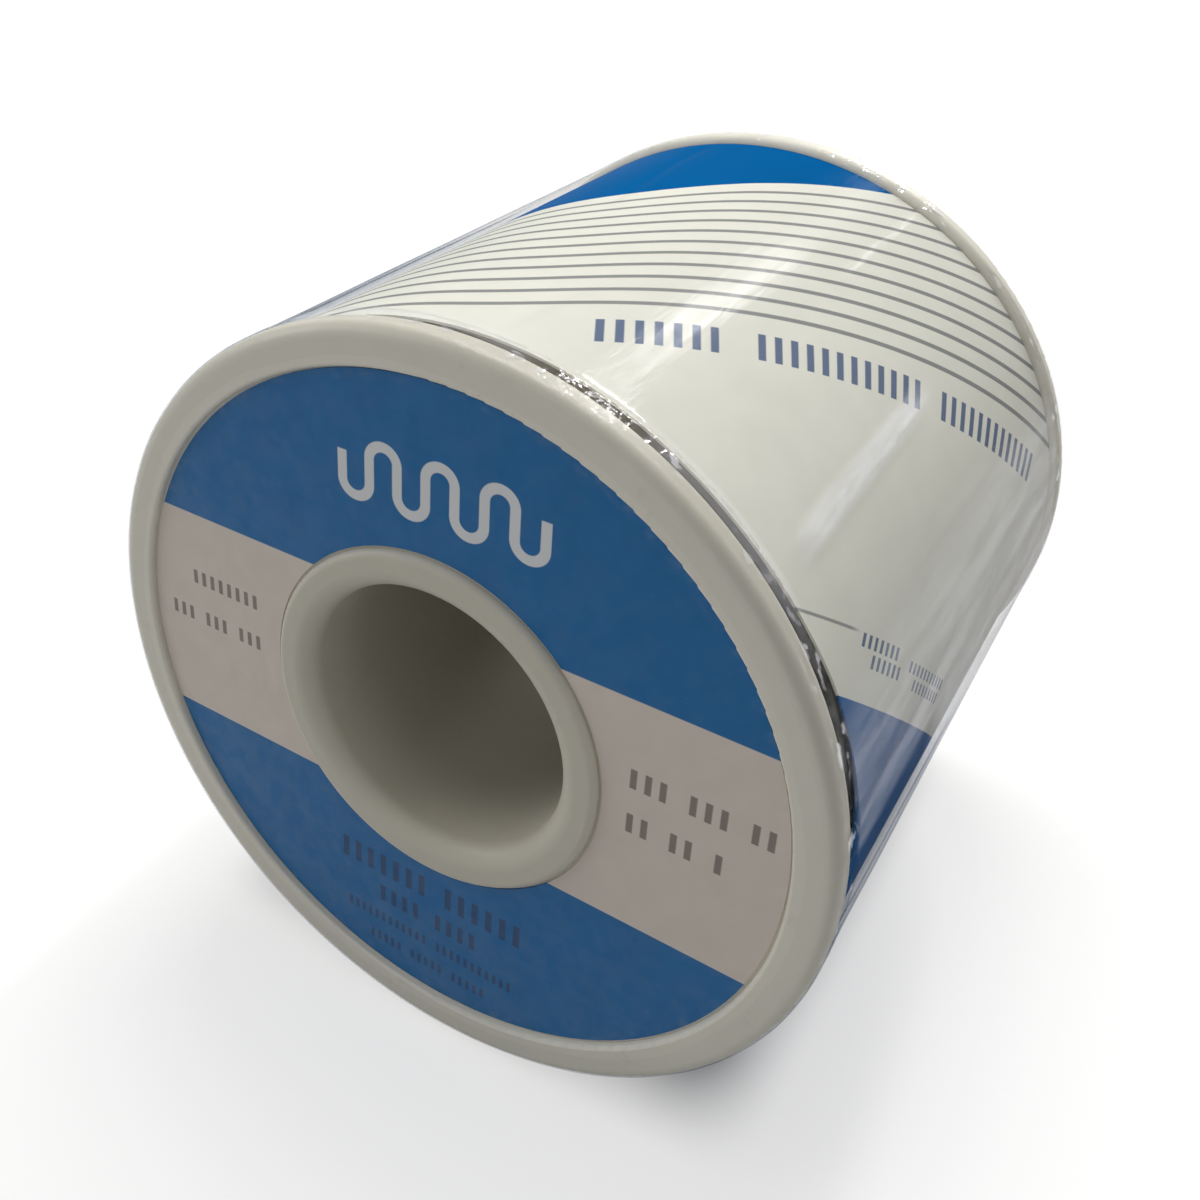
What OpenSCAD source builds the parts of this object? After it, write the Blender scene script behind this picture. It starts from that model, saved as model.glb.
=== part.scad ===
// Spool of solder wire in shrink film, lying on its side on its two flange rims.
// Origin: the middle of the bore. +Y runs along the bore from the front to the rear,
// +Z is up, and the labelled front face looks towards -Y.

/* [Spool] */
// Diameter over the two flanges
flange_d = 55; // [50:0.5:80]
// Width over the two flanges
spool_w = 53; // [40:0.5:80]
// Thickness of each flange at its rim
flange_t = 2.4; // [1.8:0.1:4]
// Bore that runs on the spindle of a bench stand
bore_d = 19.5; // [12:0.5:22]
// Wall of the hub between the bore and the winding
hub_wall = 2.8; // [2.8:0.1:4]

/* [Faces] */
// Depth of the recess in each flange face, between the hub ring and the rim
recess_depth = 0.6; // [0.3:0.1:1]
// Width of the raised rim outside the recess
rim_w = 2.7; // [2.4:0.1:4]
// Rounding of the outer edges of the rim
rim_round = 0.9; // [0.4:0.1:0.9]
// Rounding where the rim drops to the recess
recess_round = 0.25; // [0.1:0.05:0.3]
// Rounding of the outside of the hub ring
hub_ring_round = 0.5; // [0.2:0.05:0.55]
// Rounding of the two mouths of the bore
mouth_round = 1.4; // [0.6:0.1:2.2]

/* [Hub joint] */
// Length of the spigot that locates the two halves
spigot_len = 5; // [3:0.5:10]
// Gap round the spigot
spigot_clear = 0.1; // [0.05:0.05:0.3]
// Gap left past the end of the spigot
spigot_end_gap = 0.2; // [0.1:0.1:0.5]

/* [Wire] */
// Diameter of the solder wire
wire_d = 3; // [1.2:0.1:3.6]
// Least gap between the turns of the outer layer
turn_gap = 0.46; // [0.42:0.02:1]
// Gap between the winding and each flange
winding_end_gap = 0.1; // [0.1:0.1:0.5]
// Gap between the outer layer and the layers under it
layer_gap = 0.05; // [0.02:0.01:0.2]
// Bend of the wire where it climbs to the outer layer
climb_bend_r = 16; // [12:1:18]
// Depth of the buried end of the climb under the surface of the inner layers
climb_bury = 0.1; // [0.05:0.05:0.5]
// Place of the climb round the spool, anticlockwise from the right, seen from the front
climb_at = 250; // [0:5:355]
// Gap round the wire in its anchor hole in the rear flange
anchor_clear = 0.3; // [0.1:0.1:0.6]
// Depth of the wire's cut end below the rear recess
anchor_end_depth = 0.5; // [0.2:0.1:1]
// Place of the anchor hole round the spool
anchor_at = 60; // [0:5:355]

/* [Labels] */
// Thickness of the label on the front face
face_label_t = 0.12; // [0.08:0.01:0.25]
// Gap from the face label to the hub ring and to the rim
face_label_gap = 0.2; // [0.1:0.05:0.5]
// Thickness of the label wrapped round the winding
wrap_t = 0.2; // [0.1:0.05:0.3]
// How far the rims stand out past the wrapped label
rim_proud = 0.6; // [0.5:0.1:2]
// Gap between the wrapped label and the front flange
wrap_front_gap = 1.0; // [0.3:0.1:3]
// Gap between the wrapped label and the rear flange
wrap_rear_gap = 0.4; // [0.3:0.1:3]
// Gap between the wrapped label and the wire
wrap_gap = 0.03; // [0.01:0.01:0.2]
// Length of the overlap where the wrapped label is stuck to itself
overlap_len = 8; // [4:0.5:15]
// Place of the overlap round the spool
overlap_at = 262; // [0:1:355]

/* [Film] */
// Thickness of the shrink film
film_t = 0.1; // [0.05:0.01:0.2]
// Width of the flat lip that the film turns over each rim
film_lip_w = 1.2; // [0.6:0.1:1.2]

/* [Hidden] */
$fn = 96;

plastic_colour = [0.86, 0.85, 0.79];
solder_colour = [0.66, 0.67, 0.69];
blue_colour = [0.12, 0.34, 0.58];
paper_colour = [0.93, 0.93, 0.91];
film_colour = [0.85, 0.92, 0.98, 0.3];

// How far a cutter runs past the face that it cuts
cut_past = 1;

// Radii and heights of the spool
flange_r = flange_d / 2;
half_w = spool_w / 2;
bore_r = bore_d / 2;
hub_r = bore_r + hub_wall;
recess_r = flange_r - rim_w;
recess_z = half_w - recess_depth;
winding_half = half_w - flange_t;
spigot_r = bore_r + (hub_wall - spigot_clear) / 2;

// The wrapped label and the outer layer of wire, from the outside in
wire_r = wire_d / 2;
wrap_out_r = flange_r - rim_proud;
wrap_in_r = wrap_out_r - wrap_t;
layer_r = wrap_in_r - wrap_gap - wire_r;

// The tube of the outer layer: its rings, its turns and its straight ends
rings_per_turn = 24;
tube_sides = 6;
most_turns = 24;
ring_step = 360 / rings_per_turn;
first_z = -(winding_half - winding_end_gap - wire_r);
turns = min(most_turns, floor(-2 * first_z / (wire_d + turn_gap)));
turn_pitch = -2 * first_z / turns;
end_angle = asin(wire_d / layer_r);
end_r = layer_r * cos(end_angle);

// The layers under it, and the bend by which the wire comes up out of them
core_r = layer_r * cos(max(ring_step / 2, end_angle)) - wire_r - layer_gap;
climb_centre_r = end_r - climb_bend_r;
buried_r = core_r - wire_r - climb_bury;
climb_angle = acos((pow(buried_r, 2) - pow(climb_centre_r, 2) - pow(climb_bend_r, 2))
                   / (2 * climb_centre_r * climb_bend_r));

// The anchor hole, just outside the hub ring
anchor_hole_r = wire_r + anchor_clear;
anchor_r = hub_r + anchor_hole_r + anchor_clear;

// Turns a piece drawn round Z, with its front upwards, so that its axis runs along Y
module on_axis()
{
    rotate([90, 0, 0])
        children();
}

// What rounding takes off a corner; inward points from the corner into the section
module corner_cut(corner, inward, round)
{
    translate(corner)
        difference() {
            square(2 * round, center = true);
            translate(inward * round)
                circle(r = round);
        }
}

// Plain tube between two heights
module tube(r_in, r_out, z0, z1)
{
    difference() {
        translate([0, 0, z0])
            cylinder(r = r_out, h = z1 - z0);
        translate([0, 0, z0 - cut_past])
            cylinder(r = r_in, h = z1 - z0 + 2 * cut_past);
    }
}

// Hub wall from its middle to the rounded ring round the bore's mouth
module hub_section()
{
    difference() {
        translate([bore_r, 0])
            square([hub_wall, half_w]);
        corner_cut([bore_r, half_w], [1, -1], mouth_round);
        corner_cut([hub_r, half_w], [-1, -1], hub_ring_round);
    }
}

// Rim of a flange, rounded outside at both faces
module rim_section()
{
    difference() {
        translate([recess_r, winding_half])
            square([rim_w, flange_t]);
        corner_cut([recess_r, half_w], [1, -1], recess_round);
        corner_cut([flange_r, half_w], [-1, -1], rim_round);
        corner_cut([flange_r, winding_half], [-1, 1], rim_round);
    }
}

// Plate of a flange, which runs into the hub and the rim
module plate_section()
{
    translate([hub_r - hub_wall / 4, winding_half])
        square([recess_r - hub_r + hub_wall / 4 + rim_w / 4, recess_z - winding_half]);
}

// What both halves share, with the flange at the top
module spool_half()
{
    rotate_extrude()
        union() {
            hub_section();
            plate_section();
            rim_section();
        }
}

// Half that carries the face label, with the spigot on the end of its hub
module front_spool_half()
{
    color(plastic_colour)
        on_axis()
            union() {
                spool_half();
                tube(bore_r, spigot_r, -spigot_len, hub_wall);
            }
}

// Bare half, with the socket for the spigot and the hole that holds the start of the wire
module rear_spool_half()
{
    color(plastic_colour)
        on_axis()
            mirror([0, 0, 1])
                difference() {
                    spool_half();
                    translate([0, 0, -cut_past])
                        cylinder(r = spigot_r + spigot_clear,
                                 h = spigot_len + spigot_end_gap + cut_past);
                    rotate([0, 0, anchor_at])
                        translate([anchor_r, 0, winding_half - cut_past])
                            cylinder(r = anchor_hole_r, h = flange_t + 2 * cut_past);
                }
}

// Everything wound under the outer layer, as one plain body, with the two places where
// the wire leaves it: its start, through the rear flange, and its climb to the outer layer
module wire_inner_layers()
{
    color(solder_colour)
        on_axis()
            union() {
                tube(hub_r, core_r, -(winding_half - winding_end_gap),
                     winding_half - winding_end_gap);
                wire_start();
                wire_climb();
            }
}

// Start of the wire, straight through the anchor hole
module wire_start()
{
    rotate([0, 0, anchor_at])
        translate([anchor_r, 0, anchor_end_depth - recess_z])
            cylinder(r = wire_r, h = recess_z - anchor_end_depth);
}

// Bend that comes up out of the inner layers and ends square to the outer layer's start
module wire_climb()
{
    rotate([0, 0, climb_at])
        translate([climb_centre_r, 0, first_z])
            rotate([0, 0, -climb_angle])
                rotate_extrude(angle = climb_angle)
                    translate([climb_bend_r, 0])
                        circle(r = wire_r);
}

// Point at an angle and radius round the spool's axis
function round_point(angle, radius, z) = [radius * cos(angle), radius * sin(angle), z];

// Angle of ring k of the winding proper
function winding_angle(k) = climb_at + end_angle + k * ring_step;

last_ring = turns * rings_per_turn;

// Angles and centres of the tube's rings: a straight end, the winding, a straight end
tube_angles = [climb_at,
               for (k = [0 : last_ring]) winding_angle(k),
               winding_angle(last_ring) + end_angle];
tube_path = [round_point(climb_at, end_r, first_z),
             for (k = [0 : last_ring])
                 round_point(winding_angle(k), layer_r, first_z + turn_pitch * k / rings_per_turn),
             round_point(winding_angle(last_ring) + end_angle, end_r, -first_z)];

function unit(v) = v / norm(v);

// Direction of the tube at ring i, from its neighbours
function heading(i) =
    unit(tube_path[min(i + 1, len(tube_path) - 1)] - tube_path[max(i - 1, 0)]);

// Corners of ring i, the first of them pointing away from the spool's axis
function tube_ring(i) =
    let (along = heading(i),
         side = unit(cross(along, round_point(tube_angles[i], 1, 0))),
         out = cross(side, along))
    [for (j = [0 : tube_sides - 1])
        tube_path[i] + wire_r * (cos(360 * j / tube_sides) * out
                                 + sin(360 * j / tube_sides) * side)];

tube_rings = [for (i = [0 : len(tube_path) - 1]) tube_ring(i)];
tube_corners = [for (ring = tube_rings) each ring];

// Triangles between each ring and the next, and a fan over each end
tube_triangles = [
    for (i = [0 : len(tube_path) - 2], j = [0 : tube_sides - 1])
        let (a = i * tube_sides + j,
             b = i * tube_sides + (j + 1) % tube_sides)
        each [[a, b, b + tube_sides], [a, b + tube_sides, a + tube_sides]],
    for (j = [1 : tube_sides - 2])
        [0, j + 1, j],
    for (j = [1 : tube_sides - 2])
        let (last = (len(tube_path) - 1) * tube_sides)
        [last, last + j, last + j + 1]];

// Outer layer of the winding, one unbroken wire from the climb to its cut end
module wire_outer_layer()
{
    color(solder_colour)
        on_axis()
            polyhedron(points = tube_corners, faces = tube_triangles);
}

// Least distance between the corners of each ring and those one turn further on
turn_distances = [
    for (i = [0 : len(tube_rings) - 1 - rings_per_turn])
        min([for (p = tube_rings[i], q = tube_rings[i + rings_per_turn]) norm(p - q)])];
echo(str("Outer layer of wire: ", turns, " turns, least gap to itself ",
         min(turn_distances), " mm"));

// Printed ring stuck in the recess of the front face
module front_face_label()
{
    color(blue_colour)
        on_axis()
            tube(hub_r + face_label_gap, recess_r - face_label_gap,
                 recess_z, recess_z + face_label_t);
}

// Flat ring, seen along the spool's axis
module flat_ring(r_in, r_out)
{
    difference() {
        circle(r = r_out);
        circle(r = r_in);
    }
}

// Printed sheet wrapped once round the winding, with its overlapping end stuck down
module barrel_label()
{
    front_z = winding_half - wrap_front_gap;
    rear_z = wrap_rear_gap - winding_half;
    overlap_half_angle = overlap_len / wrap_out_r * 90 / PI;
    overlap_reach = 2 * flange_r;
    color(paper_colour)
        on_axis()
            translate([0, 0, rear_z])
                linear_extrude(front_z - rear_z)
                    union() {
                        flat_ring(wrap_in_r, wrap_out_r);
                        rotate(overlap_at)
                            intersection() {
                                flat_ring(wrap_out_r - wrap_t / 2, wrap_out_r + wrap_t);
                                polygon([[0, 0],
                                         overlap_reach * [cos(overlap_half_angle),
                                                          -sin(overlap_half_angle)],
                                         overlap_reach * [cos(overlap_half_angle),
                                                          sin(overlap_half_angle)]]);
                            }
                    }
}

// Section of the film's outside or inside, as far in as the edge of its lips
module film_side_section(grow)
{
    lip_in_r = flange_r - rim_round - film_lip_w;
    round = rim_round + grow;
    out_r = flange_r + grow;
    out_z = half_w + grow;
    difference() {
        translate([lip_in_r, -out_z])
            square([out_r - lip_in_r, 2 * out_z]);
        corner_cut([out_r, out_z], [-1, -1], round);
        corner_cut([out_r, -out_z], [-1, 1], round);
    }
}

// Clear sleeve shrunk over both rims
module shrink_film()
{
    color(film_colour)
        on_axis()
            rotate_extrude()
                difference() {
                    film_side_section(film_t);
                    film_side_section(0);
                }
}

front_spool_half();
rear_spool_half();
wire_inner_layers();
wire_outer_layer();
front_face_label();
barrel_label();
shrink_film();
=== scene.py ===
"""Looks of a solder wire spool lying on its side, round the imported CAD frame.

Metres, in the CAD frame: +Y runs along the bore from the labelled front to the rear, +Z is up and
the origin is the middle of the bore. Angles round the spool start at +X and grow towards +Z.
Sizes of prints and film are named in millimetres, because the spool is 55 mm across.
"""
import math

import bpy
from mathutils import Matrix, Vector, noise


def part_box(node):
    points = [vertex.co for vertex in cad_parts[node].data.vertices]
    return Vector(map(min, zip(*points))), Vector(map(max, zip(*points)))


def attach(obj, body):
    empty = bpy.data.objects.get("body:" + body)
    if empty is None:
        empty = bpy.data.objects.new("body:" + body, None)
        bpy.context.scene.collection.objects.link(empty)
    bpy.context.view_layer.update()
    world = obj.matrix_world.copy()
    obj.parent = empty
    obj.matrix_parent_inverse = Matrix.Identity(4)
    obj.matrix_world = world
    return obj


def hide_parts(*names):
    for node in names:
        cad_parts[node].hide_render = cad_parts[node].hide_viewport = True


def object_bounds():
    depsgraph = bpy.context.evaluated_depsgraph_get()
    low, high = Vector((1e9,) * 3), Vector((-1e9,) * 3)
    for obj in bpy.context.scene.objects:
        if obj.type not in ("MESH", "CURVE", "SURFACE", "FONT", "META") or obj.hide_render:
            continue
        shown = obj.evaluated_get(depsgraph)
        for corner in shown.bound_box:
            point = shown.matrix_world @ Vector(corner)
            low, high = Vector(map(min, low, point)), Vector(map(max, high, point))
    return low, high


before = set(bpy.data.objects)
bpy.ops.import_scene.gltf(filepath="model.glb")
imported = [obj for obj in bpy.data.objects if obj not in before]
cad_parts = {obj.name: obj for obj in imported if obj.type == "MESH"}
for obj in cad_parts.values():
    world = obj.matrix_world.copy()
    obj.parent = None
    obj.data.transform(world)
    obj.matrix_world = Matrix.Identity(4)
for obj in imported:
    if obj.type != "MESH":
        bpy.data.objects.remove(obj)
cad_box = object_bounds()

MM = 0.001
LOW, HIGH = cad_box
FILM_R = HIGH.x / MM
FLANGE_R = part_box("front_spool_half")[1].x / MM
FLANGE_HALF = -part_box("front_spool_half")[0].y / MM
FLANGE_T = 2.4
RIM_ROUND = 0.9
RIM_INNER = FLANGE_HALF - FLANGE_T  # where the flanges end and the winding's space begins
WRAP_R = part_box("barrel_label")[1].x / MM
WRAP_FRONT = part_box("barrel_label")[0].y / MM
WRAP_T = 0.17
WRAP_LAP = 0.19  # how far the sheet's end lies above its start
WRAP_CLEAR = 0.02
FLAP_EDGE = 253.5  # degrees at which the end of the sheet stops, on top of its start
FLAP_SPAN = 17.0  # degrees by which the two overlap


# ---------------------------------------------------------------- shader nodes as arithmetic

class Value:
    """A number that shader nodes work out at each point."""

    def __init__(self, graph, socket):
        self.graph = graph
        self.socket = socket

    def __add__(self, other):
        return self.graph.math("ADD", self, other)

    def __sub__(self, other):
        return self.graph.math("SUBTRACT", self, other)

    def __rsub__(self, other):
        return self.graph.math("SUBTRACT", other, self)

    def __mul__(self, other):
        return self.graph.math("MULTIPLY", self, other)

    def __truediv__(self, other):
        return self.graph.math("DIVIDE", self, other)

    def __pow__(self, other):
        return self.graph.math("POWER", self, other)

    def __abs__(self):
        return self.graph.math("ABSOLUTE", self)


class Graph:
    """The nodes of one material, with the position on the spool in millimetres."""

    def __init__(self, name):
        self.material = bpy.data.materials.new(name)
        self.material.use_nodes = True
        self.tree = self.material.node_tree
        self.tree.nodes.clear()
        coordinates = self.node("ShaderNodeTexCoord")
        scaled = self.node("ShaderNodeVectorMath", operation="SCALE")
        self.feed(scaled.inputs[0], coordinates.outputs["Object"])
        scaled.inputs["Scale"].default_value = 1 / MM
        self.position = scaled.outputs[0]
        parts = self.node("ShaderNodeSeparateXYZ")
        self.feed(parts.inputs[0], self.position)
        self.x, self.y, self.z = (Value(self, s) for s in parts.outputs)
        self.radius = (self.x * self.x + self.z * self.z) ** 0.5
        self.angle = self.math("ARCTAN2", self.z, self.x) * (180 / math.pi)

    def node(self, kind, **settings):
        node = self.tree.nodes.new(kind)
        for name, value in settings.items():
            setattr(node, name, value)
        return node

    def feed(self, socket, value):
        if isinstance(value, Value):
            value = value.socket
        if isinstance(value, bpy.types.NodeSocket):
            self.tree.links.new(value, socket)
        else:
            socket.default_value = value

    def math(self, operation, *values):
        node = self.node("ShaderNodeMath", operation=operation)
        for socket, value in zip(node.inputs, values):
            self.feed(socket, value)
        return Value(self, node.outputs[0])

    def vector(self, x, y, z):
        node = self.node("ShaderNodeCombineXYZ")
        for socket, value in zip(node.inputs, (x, y, z)):
            self.feed(socket, value)
        return node.outputs[0]

    def ramp(self, value, start, end, low=0.0, high=1.0):
        """low before start, high after end, and a smooth change between them."""
        node = self.node("ShaderNodeMapRange", interpolation_type="SMOOTHSTEP")
        for socket, number in zip(node.inputs, (value, start, end, low, high)):
            self.feed(socket, number)
        return Value(self, node.outputs["Result"])

    def inside(self, value, half, edge=0.06):
        """1 where value is within half of zero, with a soft edge."""
        return self.ramp(abs(value), half - edge / 2, half + edge / 2, 1.0, 0.0)

    def between(self, value, low, high, edge=0.06):
        return self.inside(value - (low + high) / 2, (high - low) / 2, edge)

    def noise(self, scale, detail=2.0, roughness=0.5, at=None):
        node = self.node("ShaderNodeTexNoise")
        self.feed(node.inputs["Vector"], at or self.position)
        node.inputs["Scale"].default_value = scale
        node.inputs["Detail"].default_value = detail
        node.inputs["Roughness"].default_value = roughness
        return Value(self, node.outputs["Fac"])

    def mix(self, factor, low, high):
        node = self.node("ShaderNodeMix", data_type="RGBA")
        self.feed(node.inputs["Factor"], factor)
        for name, colour in (("A", low), ("B", high)):
            socket = [s for s in node.inputs if s.name == name and s.type == "RGBA"][0]
            self.feed(socket, (*colour, 1) if isinstance(colour, tuple) else colour)
        return [s for s in node.outputs if s.type == "RGBA"][0]

    def bump(self, height_mm):
        node = self.node("ShaderNodeBump")
        node.inputs["Strength"].default_value = 1.0
        node.inputs["Distance"].default_value = MM
        self.feed(node.inputs["Height"], height_mm)
        return node.outputs["Normal"]

    def principled(self, **inputs):
        node = self.node("ShaderNodeBsdfPrincipled")
        for name, value in inputs.items():
            self.feed(node.inputs[name.replace("_", " ")], value)
        return node.outputs["BSDF"]

    def finish(self, shader):
        output = self.node("ShaderNodeOutputMaterial")
        self.tree.links.new(shader, output.inputs["Surface"])
        return self.material


# ---------------------------------------------------------------- camera, lamps and floor

CAMERA_AT = (0.04036, -0.08180, 0.05662)
CAMERA_AZIMUTH = 34.11
CAMERA_ELEVATION = 26.17
CAMERA_LENS = 39.958
CAMERA_SENSOR = 36.0
CAMERA_NEAR = 0.005
CAMERA_SHIFT = (0.115, -0.16)


def make_camera():
    data = bpy.data.cameras.new("camera")
    data.lens = CAMERA_LENS
    data.sensor_width = CAMERA_SENSOR
    data.clip_start = CAMERA_NEAR
    data.shift_x, data.shift_y = CAMERA_SHIFT
    camera = bpy.data.objects.new("camera", data)
    camera.location = CAMERA_AT
    camera.rotation_euler = (math.radians(90 - CAMERA_ELEVATION), 0, math.radians(CAMERA_AZIMUTH))
    bpy.context.scene.collection.objects.link(camera)
    bpy.context.scene.camera = camera


# Name, place, width and height in metres, radiance, colour. The strip's image is the long glare
# on the barrel's upper right, the top lamp shades the barrel and the fill lamp lights the front.
LAMPS = [
    ("strip_lamp", (-0.005, 0.52, 0.32), (0.036, 0.26), 52.0, (1.0, 0.985, 0.955)),
    ("top_lamp", (-0.12, 0.20, 0.62), (0.36, 0.32), 7.5, (1.0, 0.985, 0.96)),
    ("fill_lamp", (-0.56, -0.22, 0.26), (0.30, 0.30), 2.9, (1.0, 0.99, 0.97)),
]


def make_lamp(name, at, size, radiance, colour):
    """A soft box that faces the spool. Its power follows from how bright its face is."""
    data = bpy.data.lights.new(name, "AREA")
    data.shape = "RECTANGLE"
    data.size, data.size_y = size
    data.energy = radiance * math.pi * size[0] * size[1]
    data.color = colour
    lamp = bpy.data.objects.new(name, data)
    lamp.location = at
    lamp.rotation_euler = Vector(at).to_track_quat("Z", "Y").to_euler()
    bpy.context.scene.collection.objects.link(lamp)


def seen_directly(nodes, links):
    """1 for rays that show the background: the camera's, and those in mirrors and clear things."""
    path = nodes.new("ShaderNodeLightPath")
    total = path.outputs["Is Camera Ray"]
    for kind in ("Is Glossy Ray", "Is Transmission Ray"):
        add = nodes.new("ShaderNodeMath")
        add.operation = "MAXIMUM"
        links.new(total, add.inputs[0])
        links.new(path.outputs[kind], add.inputs[1])
        total = add.outputs[0]
    return total


WORLD_LIGHT = 0.37
WORLD_SEEN = 1.0


def make_world():
    world = bpy.data.worlds.new("studio")
    bpy.context.scene.world = world
    world.use_nodes = True
    nodes, links = world.node_tree.nodes, world.node_tree.links
    background = nodes["Background"]
    background.inputs["Color"].default_value = (1, 1, 1, 1)
    strength = nodes.new("ShaderNodeMapRange")
    links.new(seen_directly(nodes, links), strength.inputs["Value"])
    strength.inputs["To Min"].default_value = WORLD_LIGHT
    strength.inputs["To Max"].default_value = WORLD_SEEN
    links.new(strength.outputs["Result"], background.inputs["Strength"])


FLOOR_HALF = 3.0
FLOOR_COLOUR = (0.40, 0.40, 0.40)
FLOOR_ROUGHNESS = 0.9
# How brightly the floor is seen beside the spool and far off, and from where to where it changes
FLOOR_GLOW = 0.62
FLOOR_GLOW_FAR = 0.84
FLOOR_FADE = (100.0, 600.0)
# How far from the middle the floor's shade fades, beside the barrel and past its ends
UNDER_BARREL = (16.5, 24.5)
UNDER_ENDS = (16.0, 26.5)


def floor_shade(g):
    """0 on the floor under the spool, where no light gets, and 1 away from it."""
    beside = g.ramp(abs(g.x), *UNDER_BARREL)
    beyond = g.ramp(abs(g.y), *UNDER_ENDS)
    return beside + beyond - beside * beyond


def floor_material():
    """White where it is seen, but no lamp: it throws no more light on the spool than grey does."""
    g = Graph("floor_white")
    away = (g.x * g.x + g.y * g.y) ** 0.5
    glow = g.ramp(away, *FLOOR_FADE, FLOOR_GLOW, FLOOR_GLOW_FAR) * floor_shade(g)
    glow = glow * Value(g, seen_directly(g.tree.nodes, g.tree.links))
    return g.finish(g.principled(
        Base_Color=(*FLOOR_COLOUR, 1), Roughness=FLOOR_ROUGHNESS, Specular_IOR_Level=0.0,
        Emission_Color=(1, 1, 1, 1), Emission_Strength=glow))


def make_floor():
    mesh = bpy.data.meshes.new("floor")
    s = FLOOR_HALF
    mesh.from_pydata([(-s, -s, LOW.z), (s, -s, LOW.z), (s, s, LOW.z), (-s, s, LOW.z)], [],
                     [(0, 1, 2, 3)])
    floor = bpy.data.objects.new("floor", mesh)
    bpy.context.scene.collection.objects.link(floor)
    mesh.materials.append(floor_material())


def make_stage():
    bpy.context.scene.view_settings.view_transform = "Standard"
    make_world()
    make_floor()
    for lamp in LAMPS:
        make_lamp(*lamp)


# ---------------------------------------------------------------- materials

MOTTLE = (0.35, 0.65)


def mottled(g, mottle, colour, gain):
    """A colour with a faint change of tone, as print on a sheet has."""
    return g.mix(g.ramp(mottle, *MOTTLE), colour, tuple(c * gain for c in colour))


PATCHY = (0.3, 0.7)


def patchy(g, scale, low, high):
    """A value that drifts between low and high from place to place."""
    return g.ramp(g.noise(scale, 4, 0.6), *PATCHY, low, high)


IVORY_LIGHT = (0.72, 0.69, 0.60)
IVORY_DARK = (0.68, 0.65, 0.56)
IVORY_SOILED = (0.56, 0.525, 0.44)
IVORY_BORE_SHADE = (0.42, 0.40, 0.34)
IVORY_HUB_SHADE = (0.60, 0.575, 0.49)
# Painted sheen: the rims' lighter tone.
IVORY_RIM_SHEEN = (0.83, 0.80, 0.71)
IVORY_SIDE_SHADE = (0.56, 0.535, 0.465)
# Zones of painted shade on the hub, the front flange's outer side and the bore, and of painted
# sheen on the rims: from which radius or place to which their colour grows, and how strongly
HUB_SHADE_ZONE = (13.6, 12.0, 0.8)
RIM_SHEEN_ZONE = (23.5, 25.0, 0.75)
SIDE_SHADE_R = (26.75, 27.35)
SIDE_SHADE_Y = (6.0, -6.0)
SIDE_SHADE_SHARE = 0.8
BORE_SHADE_R = (10.4, 9.85)
BORE_SHADE_Y = (25.7, 19.0)
BORE_SHADE_SHARE = 0.8
# Ranges of noise that show as a change of tone, dirt, specks and nicks
IVORY_CLOUDS = (0.38, 0.62)
SOILED = (0.58, 0.78)
SPECKS = (0.73, 0.80)
NICKS = (0.66, 0.75)
# Pitch and heights of its relief
MOULD_RING_PITCH = 0.42
MOULD_RING_HEIGHT = 0.0006
GRAIN_HEIGHT = 0.006
SINK_HEIGHT = 0.05
NICK_DEPTH = 0.012
PLASTIC_ROUGHNESS = (0.34, 0.50)
PLASTIC_SOFT = 0.18
PLASTIC_SOFT_RADIUS = (0.0022, 0.0018, 0.0012)


def plastic_material():
    """Milky ivory styrene: soft light inside it, moulding rings and a little handling dirt, with
    painted shade on the hub, the front flange's outer side and in the bore, and a painted sheen on
    the rims.
    """
    g = Graph("spool_plastic_moulded")
    cloud = g.noise(0.16, 3)
    flow = g.noise(0.9, 3, 0.6)
    colour = g.mix(g.ramp(cloud * 0.7 + flow * 0.3, *IVORY_CLOUDS), IVORY_DARK, IVORY_LIGHT)
    # The hub's darker tone is painted shade, and the rims' lighter tone is a painted sheen.
    for (start, end, share), tone in ((HUB_SHADE_ZONE, IVORY_HUB_SHADE), (RIM_SHEEN_ZONE, IVORY_RIM_SHEEN)):
        colour = g.mix(g.ramp(g.radius, start, end) * share, colour, tone)
    # Painted shade: the front flange's outer side is darker than the rear's of the same plastic.
    side = g.ramp(g.radius, *SIDE_SHADE_R) * g.ramp(g.y, *SIDE_SHADE_Y)
    colour = g.mix(side * SIDE_SHADE_SHARE, colour, IVORY_SIDE_SHADE)
    soiled = g.ramp(g.noise(0.55, 5, 0.65), *SOILED) * 0.35
    specks = g.ramp(g.noise(2.6, 2, 0.5), *SPECKS) * 0.5
    colour = g.mix(g.math("MAXIMUM", soiled, specks), colour, IVORY_SOILED)
    # Painted shade: the bore's wall darkens deeper inside, where little light gets in.
    bore = g.ramp(g.radius, *BORE_SHADE_R) * g.ramp(abs(g.y), *BORE_SHADE_Y)
    colour = g.mix(bore * BORE_SHADE_SHARE, colour, IVORY_BORE_SHADE)
    rings = g.math("SINE", g.radius * (2 * math.pi / MOULD_RING_PITCH)) * MOULD_RING_HEIGHT
    grain = g.noise(6.0, 3, 0.6) * GRAIN_HEIGHT
    sinks = g.noise(0.35, 2) * SINK_HEIGHT
    nicks = g.ramp(g.noise(1.3, 4, 0.7), *NICKS) * -NICK_DEPTH
    roughness = patchy(g, 1.1, *PLASTIC_ROUGHNESS)
    return g.finish(g.principled(
        Base_Color=colour, Roughness=roughness, Normal=g.bump(rings + grain + sinks + nicks),
        Subsurface_Weight=PLASTIC_SOFT, Subsurface_Radius=PLASTIC_SOFT_RADIUS,
        Specular_IOR_Level=0.20))


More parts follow.
